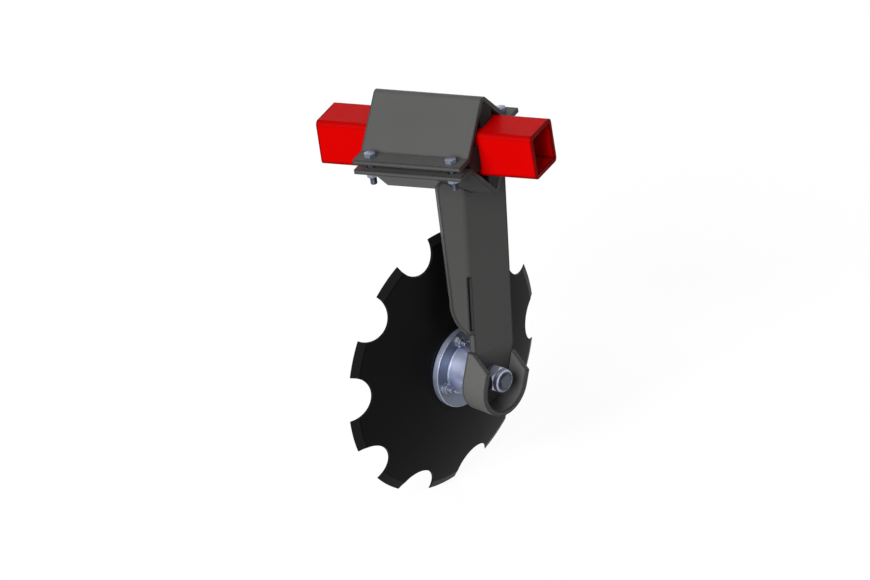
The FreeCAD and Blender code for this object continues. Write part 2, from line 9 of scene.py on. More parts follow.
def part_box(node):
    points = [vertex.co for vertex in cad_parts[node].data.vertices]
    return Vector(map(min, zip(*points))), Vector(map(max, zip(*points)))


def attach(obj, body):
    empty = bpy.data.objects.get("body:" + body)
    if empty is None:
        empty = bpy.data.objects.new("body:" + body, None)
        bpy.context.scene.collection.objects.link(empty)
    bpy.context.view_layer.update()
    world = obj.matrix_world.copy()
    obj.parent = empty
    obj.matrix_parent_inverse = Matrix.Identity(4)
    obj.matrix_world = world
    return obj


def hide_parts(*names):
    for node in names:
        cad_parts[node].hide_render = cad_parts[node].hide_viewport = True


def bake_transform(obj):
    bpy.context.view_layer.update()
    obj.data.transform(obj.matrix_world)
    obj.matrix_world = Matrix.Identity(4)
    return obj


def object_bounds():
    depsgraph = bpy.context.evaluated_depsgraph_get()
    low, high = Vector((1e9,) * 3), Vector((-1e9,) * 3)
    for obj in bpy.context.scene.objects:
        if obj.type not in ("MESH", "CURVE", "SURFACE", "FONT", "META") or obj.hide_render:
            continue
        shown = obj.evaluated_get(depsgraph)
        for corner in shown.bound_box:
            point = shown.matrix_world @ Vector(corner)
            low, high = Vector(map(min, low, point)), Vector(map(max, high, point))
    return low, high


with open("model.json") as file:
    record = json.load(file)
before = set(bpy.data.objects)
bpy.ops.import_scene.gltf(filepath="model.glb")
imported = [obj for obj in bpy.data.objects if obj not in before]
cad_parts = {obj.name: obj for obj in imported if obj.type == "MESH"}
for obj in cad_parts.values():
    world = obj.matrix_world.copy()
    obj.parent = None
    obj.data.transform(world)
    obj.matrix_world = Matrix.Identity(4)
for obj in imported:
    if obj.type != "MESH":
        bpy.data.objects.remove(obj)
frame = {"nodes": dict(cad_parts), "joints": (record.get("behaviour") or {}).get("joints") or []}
nodes = frame["nodes"]
cad_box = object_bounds()

# The view. A parallel view from behind and above the right-hand end of the toolbar, turned a
# little about its own axis. The picture is 870 by 580 and shows 1.45 m across.
view_azimuth = math.radians(28.843)
view_elevation = math.radians(24.988)
view_roll = math.radians(-8.736)
view_width = 1.45
view_distance = 4.0
origin_right_of_middle = 0.00199
origin_above_middle = 0.2485

towards_camera = Vector((
    math.sin(view_azimuth) * math.cos(view_elevation),
    -math.cos(view_azimuth) * math.cos(view_elevation),
    math.sin(view_elevation),
))
level_right = (-towards_camera).cross(Vector((0, 0, 1))).normalized()
level_up = towards_camera.cross(level_right)
picture_right = math.cos(view_roll) * level_right + math.sin(view_roll) * level_up
picture_up = towards_camera.cross(picture_right)
picture_middle = -origin_right_of_middle * picture_right - origin_above_middle * picture_up

camera = bpy.data.objects.new("camera", bpy.data.cameras.new("camera"))
camera.data.type = "ORTHO"
camera.data.ortho_scale = view_width
camera.rotation_mode = "QUATERNION"
camera.rotation_quaternion = Matrix((picture_right, picture_up, towards_camera)).transposed().to_quaternion()
camera.location = picture_middle + view_distance * towards_camera
bpy.context.scene.collection.objects.link(camera)
bpy.context.scene.camera = camera
bpy.context.scene.view_settings.view_transform = "Standard"


# The lamps. A broad soft key comes from behind the machine, a little above the horizon, so the
# toolbar's long face is the brightest. Weaker ones fill from the open end and from the front.
def sun(name, direction, strength, softness):
    """A sun lamp that shines from a direction, with its softness in degrees."""
    lamp = bpy.data.lights.new(name, "SUN")
    lamp.energy = strength
    lamp.angle = math.radians(softness)
    lamp_object = bpy.data.objects.new(name, lamp)
    lamp_object.rotation_mode = "QUATERNION"
    lamp_object.rotation_quaternion = Vector(direction).to_track_quat("Z", "Y")
    bpy.context.scene.collection.objects.link(lamp_object)


sun("key_lamp", direction=(-0.04, -0.90, 0.42), strength=2.75, softness=40)
sun("fill_lamp", direction=(0.85, -0.25, 0.45), strength=0.06, softness=60)
sun("front_lamp", direction=(-0.75, 0.65, 0.0), strength=1.3, softness=50)


# The floor and the background. Both are plain white where the camera, metal or glass sees them.
# The floor is also lit, so that it keeps the shadow of the blade that stands just clear of it.
ambient = 0.12
floor_glow = 0.90
floor_grey = 0.20
floor_size = 8.0
floor_drop = 0.002


class Wire:
    """One output in a node tree. Plain + - * / on it add the Math nodes that work the sum out."""

    def __init__(self, tree, socket):
        self.tree = tree
        self.socket = socket

    def sum(self, operation, first, second):
        """What a Math node makes of two values."""
        return self.tree.node("ShaderNodeMath", {"operation": operation}, {0: first, 1: second})

    def other(self, output):
        """Another output of the same node."""
        return Wire(self.tree, self.socket.node.outputs[output])

    def __add__(self, other):
        return self.sum("ADD", self, other)

    def __sub__(self, other):
        return self.sum("SUBTRACT", self, other)

    def __rsub__(self, other):
        return self.sum("SUBTRACT", other, self)

    def __mul__(self, other):
        return self.sum("MULTIPLY", self, other)

    def __truediv__(self, other):
        return self.sum("DIVIDE", self, other)

    def __abs__(self):
        return self.tree.node("ShaderNodeMath", {"operation": "ABSOLUTE"}, {0: self})

    __radd__ = __add__
    __rmul__ = __mul__


class Tree:
    """A node tree being joined up."""

    def __init__(self, tree):
        self.tree = tree

    def node(self, kind, settings=None, sockets=None, output=0):
        """Adds a node. Its settings go in first, then the value or wire of each named socket."""
        added = self.tree.nodes.new(kind)
        for name, value in (settings or {}).items():
            setattr(added, name, value)
        for name, value in (sockets or {}).items():
            if isinstance(value, Wire):
                self.tree.links.new(value.socket, added.inputs[name])
            else:
                added.inputs[name].default_value = value
        return Wire(self, added.outputs[output]) if added.outputs else None


def emptied(holder):
    """The node tree of a world or a material, with nothing left in it."""
    holder.use_nodes = True
    holder.node_tree.nodes.clear()
    return Tree(holder.node_tree)


def seen_ray(tree):
    """1 for a ray from the camera, or one that metal or glass sends on, and 0 for other light."""
    ray = tree.node("ShaderNodeLightPath", output="Is Camera Ray")
    return ray + ray.other("Is Glossy Ray") + ray.other("Is Transmission Ray")


world = bpy.data.worlds.new("studio")
bpy.context.scene.world = world
sky = emptied(world)
sockets = {"Color": (1, 1, 1, 1), "Strength": seen_ray(sky) * (1 - ambient) + ambient}
background = sky.node("ShaderNodeBackground", sockets=sockets)
sky.node("ShaderNodeOutputWorld", sockets={"Surface": background})

floor_material = bpy.data.materials.new("floor_white")
ground = emptied(floor_material)
lit = ground.node("ShaderNodeBsdfDiffuse", sockets={"Color": (floor_grey, floor_grey, floor_grey, 1)})
glow = ground.node("ShaderNodeEmission", sockets={"Strength": seen_ray(ground) * floor_glow})
both = ground.node("ShaderNodeAddShader", sockets={0: lit, 1: glow})
ground.node("ShaderNodeOutputMaterial", sockets={"Surface": both})

floor_height = cad_box[0].z - floor_drop
floor_mesh = bpy.data.meshes.new("floor")
floor_corners = [
    (x * floor_size / 2, y * floor_size / 2, floor_height) for x, y in ((-1, -1), (1, -1), (1, 1), (-1, 1))
]
floor_mesh.from_pydata(floor_corners, [], [(0, 1, 2, 3)])
floor_mesh.materials.append(floor_material)
floor = bpy.data.objects.new("floor", floor_mesh)
bpy.context.scene.collection.objects.link(floor)


# The toolbar: a cut length of square hollow section, hot rolled with rounded corners and sawn to
# length. It is sprayed with glossy red implement paint, and dark primer shows along its edges.
red = (0.82, 0.001, 0.001)
red_primer = (0.06, 0.002, 0.002)
red_roughness = 0.34
red_specular = 0.02
orange_peel = 0.00006
toolbar_edge = 0.0008
doubles_within = 0.00001
flat_within = math.radians(0.4)


class Finish(Tree):
    """A material made of nodes round one Principled shader, whose plain values come first."""

    def __init__(self, name, **values):
        self.material = bpy.data.materials.new(name)
        self.material.use_nodes = True
        super().__init__(self.material.node_tree)
        self.shader = self.tree.nodes["Principled BSDF"]
        for socket, value in values.items():
            self.shader.inputs[socket.replace("_", " ")].default_value = value

    def feed(self, socket, wire):
        """Joins a wire to a socket of the shader."""
        self.tree.links.new(wire.socket, self.shader.inputs[socket])

    def noise(self, lumps, detail, stretch=(1, 1, 1)):
        """Noise from 0 to 1 in object coordinates, with so many lumps to the metre."""
        spot = self.node("ShaderNodeTexCoord", output="Object")
        stretched = self.node("ShaderNodeMapping", sockets={"Vector": spot, "Scale": stretch})
        sockets = {"Vector": stretched, "Scale": lumps, "Detail": detail}
        return self.node("ShaderNodeTexNoise", sockets=sockets)

    def step(self, wire, low, high):
        """0 below low, 1 above high and smooth between them."""
        sockets = {"Value": wire, "From Min": low, "From Max": high}
        return self.node("ShaderNodeMapRange", {"interpolation_type": "SMOOTHSTEP"}, sockets)

    def mix(self, mask, first, second):
        """The first colour where the mask is 0 and the second where it is 1."""
        colours = [c if isinstance(c, Wire) else (*c, 1) for c in (first, second)]
        sockets = {0: mask, 6: colours[0], 7: colours[1]}
        return self.node("ShaderNodeMix", {"data_type": "RGBA"}, sockets, output=2)

    def edges(self, reach):
        """How far a spot is turned over an edge: 0 on a flat, rising within reach of a corner."""
        rounded = self.node("ShaderNodeBevel", {"samples": 4}, {"Radius": reach})
        flat = self.node("ShaderNodeNewGeometry", output="Normal")
        sockets = {0: rounded, 1: flat}
        return 1 - self.node("ShaderNodeVectorMath", {"operation": "DOT_PRODUCT"}, sockets, output="Value")

    def worn(self, reach, ragged_by, start, full):
        """1 along an edge and 0 on a flat, with a border between them that noise makes ragged."""
        return self.step(self.edges(reach) * (0.5 + ragged_by), start, full)

    def bumps(self, height, depth):
        """Feeds the shader's normal with bumps of so many metres."""
        self.feed("Normal", self.node("ShaderNodeBump", sockets={"Height": height, "Distance": depth}))


def darker(colour, share):
    """The colour times a share, which lightens it where it is over 1."""
    return tuple(share * part for part in colour)


def painted(name, colour, primer, roughness, specular):
    """Sprayed paint: orange peel, slight unevenness, and edges where the primer shows through."""
    finish = Finish(name, Specular_IOR_Level=specular)
    cloud = finish.noise(lumps=14, detail=5)
    grain = finish.noise(lumps=240, detail=4)
    coat = finish.mix(cloud * 0.7 + grain * 0.3, darker(colour, 0.90), darker(colour, 1.08))
    edge = finish.worn(reach=0.0060, ragged_by=grain, start=0.002, full=0.020)
    finish.feed("Base Color", finish.mix(edge * 0.9, coat, primer))
    finish.feed("Roughness", roughness + 0.10 * cloud + 0.06 * grain)
    finish.bumps(finish.noise(lumps=620, detail=2) + 0.6 * finish.noise(lumps=90, detail=3), orange_peel)
    return finish.material


def fair_copy(node, name):
    """A CAD node's shape as a mesh of its own, with doubles merged and flat faces joined."""
    shape = bmesh.new()
    shape.from_mesh(nodes[node].data)
    bmesh.ops.remove_doubles(shape, verts=shape.verts, dist=doubles_within)
    bmesh.ops.dissolve_limit(shape, angle_limit=flat_within, verts=shape.verts, edges=shape.edges)
    return as_piece(shape, name)


def as_piece(shape, name):
    """The bmesh as an object at the origin."""
    mesh = bpy.data.meshes.new(name)
    shape.to_mesh(mesh)
    shape.free()
    piece = bpy.data.objects.new(name, mesh)
    bpy.context.scene.collection.objects.link(piece)
    return piece


def settled(piece, place=Matrix()):
    """Turns a piece's modifiers into plain mesh, and carries the mesh to its place."""
    bpy.context.view_layer.update()
    mesh = bpy.data.meshes.new_from_object(piece.evaluated_get(bpy.context.evaluated_depsgraph_get()))
    piece.modifiers.clear()
    piece.data = mesh
    mesh.transform(place)
    return piece


def shaded(piece, sharp):
    """Shades a piece smooth, apart from edges that turn by more than the sharp angle, in degrees."""
    piece.data.shade_smooth()
    piece.data.set_sharp_from_angle(angle=math.radians(sharp))
    return piece


def eased(piece, width, sharp=30):
    """Rounds the sharp corners of a piece, and lets its large faces rule the shading."""
    shaded(piece, sharp)
    rounding = piece.modifiers.new("eased_edges", "BEVEL")
    rounding.width = width
    rounding.segments = 2
    rounding.limit_method = "ANGLE"
    rounding.angle_limit = math.radians(sharp)
    shading = piece.modifiers.new("flat_faces_kept_flat", "WEIGHTED_NORMAL")
    shading.mode = "FACE_AREA"
    shading.weight = 100
    shading.keep_sharp = True
    return settled(piece)


def coated(piece, material):
    """Gives a piece its one material."""
    piece.data.materials.clear()
    piece.data.materials.append(material)


def fitted(piece, material, body, slot, *replaced):
    """Gives a piece its material and body, and lets it stand for its CAD nodes. The slot is not used."""
    coated(piece, material)
    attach(piece, body)
    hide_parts(*replaced)


red_paint = painted("red_paint", red, red_primer, red_roughness, red_specular)
toolbar_tube = eased(fair_copy("toolbar", "toolbar_tube"), toolbar_edge)
fitted(toolbar_tube, red_paint, "toolbar", "red_paint", "toolbar")


# The clamp plates: two strips of 8 mm plate, each pressed to a V with a flange at either side.
# Their ends are laser cut, and the dark oxide and fine lines of the cut show through the paint; every face
# that looks along the toolbar is also painted darker, as painted shade.
dark_grey = (0.112, 0.112, 0.110)
# A darker grey painted on faces that look along the toolbar: painted shade, and the oxide of the cut ends.
oxide_and_shade_grey = (0.045, 0.045, 0.047)
dark_primer = (0.008, 0.008, 0.008)
plate_roughness = 0.42
plate_specular = 0.16
plate_grain = 0.00007
plate_edge = 0.0006


def painted_plate(name):
    """Satin dark grey paint on rolled plate. Faces that look along the toolbar get painted shade, a darker
    grey with fine lines, which on the cut ends is also the oxide of the cut.
    """
    finish = Finish(name, Specular_IOR_Level=plate_specular)
    cloud = finish.noise(lumps=12, detail=5)
    grain = finish.noise(lumps=300, detail=4)
    coat = finish.mix(cloud * 0.6 + grain * 0.4, darker(dark_grey, 0.86), darker(dark_grey, 1.12))
    normal = finish.node("ShaderNodeTexCoord", output="Normal")
    along_toolbar = abs(finish.node("ShaderNodeSeparateXYZ", sockets={0: normal}, output="X"))
    # Painted shade: faces that look along the toolbar get the darker grey, over the oxide of the cut ends.
    along_toolbar_shade = finish.step(along_toolbar, low=0.985, high=0.998)
    lines = finish.noise(lumps=900, detail=2, stretch=(0.02, 1, 1))
    cut = finish.mix(lines, darker(oxide_and_shade_grey, 0.8), darker(oxide_and_shade_grey, 1.15))
    edge = finish.worn(reach=0.0050, ragged_by=grain, start=0.004, full=0.030)
    finish.feed("Base Color", finish.mix(edge * 0.9, finish.mix(along_toolbar_shade, coat, cut), dark_primer))
    finish.feed("Roughness", plate_roughness + 0.10 * cloud + 0.06 * grain)
    finish.bumps(finish.noise(lumps=520, detail=2) + 0.8 * finish.noise(lumps=70, detail=3), plate_grain)
    return finish.material


clamp_paint = painted_plate("clamp_paint")
for half in ("upper", "lower"):
    plate = eased(fair_copy("clamp_" + half, "clamp_plate_" + half), plate_edge)
    fitted(plate, clamp_paint, "arm", "dark_paint", "clamp_" + half)


# The rubber cords: four lengths of solid black rubber, squeezed between the toolbar's flats and
# the corners of the clamp. They shear as the arm swings, and spring it. Their ends are knife cut.
cord_edge = 0.0012
rubber_black = (0.008, 0.008, 0.008)
held_by_toolbar = 0.040
held_by_clamp = 0.060
shear_slices = 6
outward = {"top": (0, 0, 1), "rear": (0, -1, 0), "bottom": (0, 0, -1), "front": (0, 1, 0)}

rubber = Finish("cord_rubber", Specular_IOR_Level=0.15)
bloom = rubber.noise(lumps=45, detail=6)
speck = rubber.noise(lumps=1400, detail=3)
ridges = rubber.noise(lumps=420, detail=2, stretch=(1, 0.05, 1))
dusting = bloom * 0.7 + speck * 0.3
rubber.feed("Base Color", rubber.mix(dusting, darker(rubber_black, 0.5), darker(rubber_black, 1.9)))
rubber.feed("Roughness", 0.62 + 0.18 * bloom)
rubber.bumps(speck * 0.5 + ridges, depth=0.00012)


def sliced(piece, start, end, count):
    """Cuts a piece's faces across at even steps from start to end, so that it can bend there."""
    shape = bmesh.new()
    shape.from_mesh(piece.data)
    for step in range(count + 1):
        whole = [*shape.verts, *shape.edges, *shape.faces]
        cut = start.lerp(end, step / count)
        bmesh.ops.bisect_plane(shape, geom=whole, plane_co=cut, plane_no=end - start)
    shape.to_mesh(piece.data)
    shape.free()
    return piece


for side, direction in outward.items():
    inner = held_by_toolbar * Vector(direction)
    outer = held_by_clamp * Vector(direction)
    cord = sliced(fair_copy("rubber_cord_" + side, "cord_rubber_" + side), inner, outer, shear_slices)
    cord = eased(cord, cord_edge)
    coated(cord, rubber.material)
    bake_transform(cord)
    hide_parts("rubber_cord_" + side)


# The clamp's bolts and nuts: four M12 hexagon bolts, heads up, through both plates near the
# corners of the flanges. Cold-forged steel with rolled threads, and zinc plating that has dulled.
bolt_flats = 0.019
bolt_head = 0.0075
bolt_radius = 0.006
bolt_pitch = 0.00175
bolt_threaded = 0.034
nut_height = 0.010
thread_clearance = 0.0001
thread_depth_share = 0.61
thread_rows_in_turn = 6
countersink_share = 0.08
hex_columns = 48
chamfer_share = 0.475
chamfer_slope = math.tan(math.radians(30))
skin_doubles_within = 0.000002
upside_down = Matrix.Rotation(math.pi, 4, "X")
bolt_blue = (0.25, 0.285, 0.385)


def zinc_plated(name, colour, roughness=0.34):
    """Zinc plating: a cloudy bluish film over fine forging marks, and grime along the edges."""
    finish = Finish(name, Metallic=0.88)
    film = finish.noise(lumps=130, detail=4)
    grain = finish.noise(lumps=1500, detail=3)
    warm = (colour[0] * 1.06, colour[1] * 1.02, colour[2] * 0.90)
    plate = finish.mix(finish.step(film, low=0.35, high=0.70), darker(colour, 0.92), warm)
    edge = finish.worn(reach=0.0024, ragged_by=film, start=0.01, full=0.08)
    finish.feed("Base Color", finish.mix(edge * 0.85, plate, darker(colour, 0.08)))
    finish.feed("Roughness", roughness + 0.16 * film - 0.06 * edge)
    finish.bumps(grain + 0.5 * film, depth=0.00003)
    return finish.material


def skin(name, angles, rows, closed, sharp=30):
    """A mesh of rows of (radius, height) at the given angles about z. A closed one has a bore."""
    shape = bmesh.new()
    grid = [
        [shape.verts.new((r * math.cos(a), r * math.sin(a), z)) for a, (r, z) in zip(angles, row)]
        for row in rows
    ]
    following = grid[1:] + grid[:1] if closed else grid[1:]
    for near, far in zip(grid, following):
        for column in range(len(angles)):
            shape.faces.new((near[column - 1], near[column], far[column], far[column - 1]))
    if not closed:
        shape.faces.new(grid[0])
        shape.faces.new(grid[-1])
    bmesh.ops.remove_doubles(shape, verts=shape.verts, dist=skin_doubles_within)
    bmesh.ops.recalc_face_normals(shape, faces=shape.faces)
    return shaded(as_piece(shape, name), sharp)


def round_about(columns):
    """Evenly spaced angles, all the way round."""
    return [math.tau * column / columns for column in range(columns)]


def hex_rows(flats, low, high):
    """The three rows of a hexagon with a chamfered upper face: its foot, its side and its face."""
    reach = [flats / 2 / math.cos(a % (math.pi / 3) - math.pi / 6) for a in round_about(hex_columns)]
    face_radius = flats * chamfer_share
    return [
        [(r, low) for r in reach],
        [(r, high - (r - face_radius) * chamfer_slope) for r in reach],
        [(face_radius, high)] * hex_columns,
    ]


def threaded_rod(name, radius, pitch, low, thread_end, high, columns=36):
    """A rod with a rolled thread from its free lower end to thread_end, and a plain shank above."""
    depth = thread_depth_share * pitch
    angles = round_about(columns)
    rows = []
    for step in range(math.ceil((thread_end - low) / pitch * thread_rows_in_turn)):
        height = low + step * pitch / thread_rows_in_turn
        limit = radius - depth + min(height - low, depth)
        row = []
        for angle in angles:
            phase = (height / pitch - angle / math.tau) % 1
            row.append((min(limit, radius - depth * abs(2 * phase - 1)), height))
        rows.append(row)
    rows += [[(radius, thread_end + pitch)] * columns, [(radius, high)] * columns]
    return skin(name, angles, rows, closed=False, sharp=50)


def joined(name, *parts):
    """Several meshes as one piece."""
    shape = bmesh.new()
    for part in parts:
        shape.from_mesh(part.data)
        bpy.data.objects.remove(part)
    return shaded(as_piece(shape, name), sharp=35)


class Pattern(Tree):
    """A Geometry Nodes tree that repeats the piece which it is put on."""

    def __init__(self, name, sizes):
        super().__init__(bpy.data.node_groups.new(name, "GeometryNodeTree"))
        face = self.tree.interface
        face.new_socket("Geometry", in_out="OUTPUT", socket_type="NodeSocketGeometry")
        face.new_socket("Geometry", in_out="INPUT", socket_type="NodeSocketGeometry")
        for size, kind in sizes.items():
            face.new_socket(size, in_out="INPUT", socket_type="NodeSocket" + kind)
        face.new_socket("Material", in_out="INPUT", socket_type="NodeSocketMaterial")
        self.given = self.node("NodeGroupInput")

    def repeat(self, points, turn=(0, 0, 0)):
        """Puts the piece on each point, makes it real, and gives it its material."""
        sockets = {"Points": points, "Instance": self.given.other("Geometry"), "Rotation": turn}
        copies = self.node("GeometryNodeInstanceOnPoints", sockets=sockets)
        real = self.node("GeometryNodeRealizeInstances", sockets={"Geometry": copies})
        sockets = {"Geometry": real, "Material": self.given.other("Material")}
        made = self.node("GeometryNodeSetMaterial", sockets=sockets)
        self.node("NodeGroupOutput", sockets={"Geometry": made})

    def put_on(self, piece, place, **values):
        """Repeats a piece with the sizes given, and leaves a plain mesh in its place."""
        modifier = piece.modifiers.new(self.tree.name, "NODES")
        modifier.node_group = self.tree
        for socket in self.tree.interface.items_tree:
            if socket.in_out == "INPUT" and socket.name in values:
                modifier[socket.identifier] = values[socket.name]
        settled(piece, place)


four_corners = Pattern("four_corners", {"Length": "Float", "Width": "Float"})
grid_sockets = {
    "Size X": four_corners.given.other("Length"),
    "Size Y": four_corners.given.other("Width"),
    "Vertices X": 2,
    "Vertices Y": 2,
}
four_corners.repeat(four_corners.node("GeometryNodeMeshGrid", sockets=grid_sockets, output="Mesh"))

bolts_low, bolts_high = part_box("clamp_bolts")
nuts_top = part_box("clamp_nuts")[1].z
head_seat = bolts_high.z - bolt_head
hex_corners = bolt_flats / math.cos(math.pi / 6)
corner_spread = {
    "Length": bolts_high.x - bolts_low.x - hex_corners,
    "Width": bolts_high.y - bolts_low.y - bolt_flats,
}
bolt_zinc = zinc_plated("bolt_zinc", bolt_blue)

bolt_head_rows = hex_rows(bolt_flats, 0, bolt_head)
head = skin("bolt_head", round_about(hex_columns), bolt_head_rows, closed=False)
shank_end = bolts_low.z - head_seat
thread_end = shank_end + bolt_threaded
shank = threaded_rod("bolt_shank", bolt_radius, bolt_pitch, shank_end, thread_end, high=bolt_head / 2)
clamp_bolt = joined("clamp_hex_bolts", head, shank)
four_corners.put_on(clamp_bolt, Matrix.Translation((0, 0, head_seat)), Material=bolt_zinc, **corner_spread)
fitted(clamp_bolt, bolt_zinc, "arm", "zinc", "clamp_bolts")


def plain_nut_rows(flats, height, bore):
    """Rows of a hexagon nut with a countersunk bore, its chamfered face up."""
    foot, side, face = hex_rows(flats, 0, height)
    sink = countersink_share * bore
    rim = bore + sink
    return [
        [(bore, height - sink)] * hex_columns,
        [(bore, sink)] * hex_columns,
        [(rim, 0)] * hex_columns,
        foot,
        side,
        face,
        [(rim, height)] * hex_columns,
    ]


nut_rows = plain_nut_rows(bolt_flats, nut_height, bolt_radius + thread_clearance)
clamp_nut = skin("clamp_hex_nuts", round_about(hex_columns), nut_rows, closed=True)
under_flange = Matrix.Translation((0, 0, nuts_top)) @ upside_down
four_corners.put_on(clamp_nut, under_flange, Material=bolt_zinc, **corner_spread)
fitted(clamp_nut, bolt_zinc, "arm", "zinc", "clamp_nuts")


# The arm: 12 mm plate, laser cut and folded along its front, with a slot that relieves the end
# of the fold. Its top is cut to the clamp and its foot is bent to the angle of the blade.
arm_paint = painted_plate("arm_paint")
arm_blank = eased(fair_copy("arm_plate", "folded_arm"), plate_edge)
fitted(arm_blank, arm_paint, "arm", "dark_paint", "arm_plate")


# The guard: a U of 50 by 8 mm flat bar, bent hot round a former and welded to the arm's foot. It
# keeps stones and straw off the spindle's nut.
guard_grey = (0.145, 0.145, 0.142)

guard_bar = eased(fair_copy("hub_guard", "guard_bar"), plate_edge)
guard_paint = painted("guard_paint", guard_grey, dark_primer, plate_roughness, plate_specular)
fitted(guard_bar, guard_paint, "arm", "dark_paint", "hub_guard")


# The spindle and its nut: a turned stub axle with a threaded end that comes through the foot,
# a plain sleeve, and a heavy self-locking nut with a nylon ring in its collar.
spindle_flats = 0.041
spindle_thread = 0.0135
spindle_pitch = 0.002
spindle_nut_hex = 0.015
spindle_nut_top = 0.0245
spindle_nut_seat = 0.010
spindle_stick_out = 0.038
spindle_plain_end = 0.002
spindle_nut_turn = math.radians(-65.155)
arm_thickness = 0.012
collar_share = 0.485
collar_edge_share = 0.05
ring_share = 0.84
ring_depth = 0.005
spindle_grey = (0.085, 0.095, 0.125)
nut_blue = (0.46, 0.51, 0.66)
nylon_dark = (0.10, 0.13, 0.30)
nylon_blue = (0.16, 0.20, 0.42)

# The spindle inside the hub, as (radius, height) from its tip to the arm: the tip for the bearing
# nut, the seat of both bearings, and the collar.
spindle_profile = [
    (0.0105, -0.0950),
    (0.0120, -0.0935),
    (0.0120, -0.0770),
    (0.0150, -0.0770),
    (0.0150, -0.0200),
    (0.0204, -0.0200),
    (0.0210, -0.0194),
    (0.0210, -0.0120),
]

spin = next(joint for joint in frame["joints"] if joint["name"] == "disc_spin")
hub_axis = Vector(spin["axis"]).normalized()
hub_point = Vector(spin["pos_m"])
hub_up = (Vector((0, 0, 1)) - hub_axis * hub_axis.z).normalized()
hub_side = hub_axis.cross(hub_up)
hub_place = Matrix.Translation(hub_point) @ Matrix((hub_up, hub_side, hub_axis)).transposed().to_4x4()


def turned(name, profile, columns):
    """A solid lathe-turned shape from its profile of (radius, height)."""
    return skin(name, round_about(columns), [[point] * columns for point in profile], closed=False)


def lock_nut_rows(flats, hex_height, height, bore, recess=0.0):
    """Rows of a nut with a round collar over its hexagon, and a recess in the collar for a ring."""
    foot, side, face = hex_rows(flats, 0, hex_height)
    collar = flats * collar_share
    edge = flats * collar_edge_share
    inside = [(bore, height - recess)] if recess else [(bore, height - edge / 2)]
    lip = [(collar * ring_share, height - recess)] if recess else []
    mouth = (collar * ring_share if recess else bore + edge / 2, height)
    upper = [(collar, hex_height + edge / 4), (collar, height - edge), (collar - edge, height), mouth]
    hollow = [[point] * hex_columns for point in [*reversed(lip), *inside, (bore, 0)]]
    return [*hollow, foot, side, face, *[[point] * hex_columns for point in upper]]


spindle_end = threaded_rod(
    "spindle_end", spindle_thread, spindle_pitch,
    -spindle_stick_out, -spindle_plain_end, high=arm_thickness, columns=64
)
spindle_end.data.transform(upside_down)
spindle_body = turned("spindle_body", spindle_profile, columns=96)
stub_axle = joined("stub_axle", spindle_body, spindle_end)
stub_axle.data.transform(hub_place)
spindle_steel = zinc_plated("spindle_steel", spindle_grey, roughness=0.38)
fitted(stub_axle, spindle_steel, "arm", "zinc", "spindle")

nut_rows = lock_nut_rows(
    spindle_flats, spindle_nut_hex, spindle_nut_top, spindle_thread + thread_clearance, ring_depth
)
axle_nut = skin("axle_lock_nut", round_about(hex_columns), nut_rows, closed=True)
axle_nut.data.transform(
    hub_place @ Matrix.Translation((0, 0, spindle_nut_seat)) @ Matrix.Rotation(spindle_nut_turn, 4, "Z")
)
nut_zinc = zinc_plated("nut_zinc", nut_blue)
fitted(axle_nut, nut_zinc, "arm", "zinc", "spindle_nut")


def refinished(material, *names):
    """CAD nodes whose shape is right as it is get their material."""
    for name in names:
        coated(nodes[name], material)


nylon = Finish("locking_nylon", Roughness=0.45)
haze = nylon.noise(lumps=220, detail=3)
nylon.feed("Base Color", nylon.mix(haze, nylon_dark, nylon_blue))
nylon.bumps(haze, depth=0.00004)
refinished(nylon.material, "nylon_ring")
refinished(bolt_zinc, "spindle_spacer")


# The bearings: two ball bearings pressed in the hub, kept apart by a sleeve and held by a washer
# and nut on the spindle's tip. Ground steel rings and balls, with pressed steel cages.
steel_grey = (0.58, 0.58, 0.60)
steel_bright = (0.66, 0.66, 0.68)
cage_brown = (0.38, 0.36, 0.33)
cage_grey = (0.52, 0.51, 0.49)

ground_steel = Finish("ground_steel", Metallic=1.0)
haze = ground_steel.noise(lumps=300, detail=3)
ground_steel.feed("Base Color", ground_steel.mix(haze, steel_grey, steel_bright))
ground_steel.feed("Roughness", 0.14 + 0.10 * haze)
ground_steel.bumps(ground_steel.noise(lumps=2600, detail=2), depth=0.00001)

pressed_steel = Finish("pressed_steel", Metallic=0.9)
haze = pressed_steel.noise(lumps=400, detail=4)
pressed_steel.feed("Base Color", pressed_steel.mix(haze, cage_brown, cage_grey))
pressed_steel.feed("Roughness", 0.34 + 0.16 * haze)
pressed_steel.bumps(haze, depth=0.00003)

for side in ("arm_side", "disc_side"):
    refinished(ground_steel.material, "inner_race_" + side, "outer_race_" + side, "balls_" + side)
    refinished(pressed_steel.material, "ball_cage_" + side)
refinished(bolt_zinc, "bearing_spacer", "bearing_washer", "bearing_nut")


# The hub: an iron casting turned on its flange, body and bore, and plated with bluish zinc. The
# lathe's feed leaves fine rings about its axis, and its faces towards the arm are painted darker,
# as painted shade. A rubber seal and a pressed cap close its ends.
hub_blue = (0.52, 0.58, 0.78)
hub_warm = (0.55, 0.60, 0.76)
# Painted shade: a darker zinc for the hub's faces that look towards the arm.
hub_face_painted_shade = (0.16, 0.18, 0.24)
hub_edge = 0.0006
lathe_rings = 1600
seal_black = (0.012, 0.012, 0.012)
seal_grey = (0.03, 0.03, 0.03)


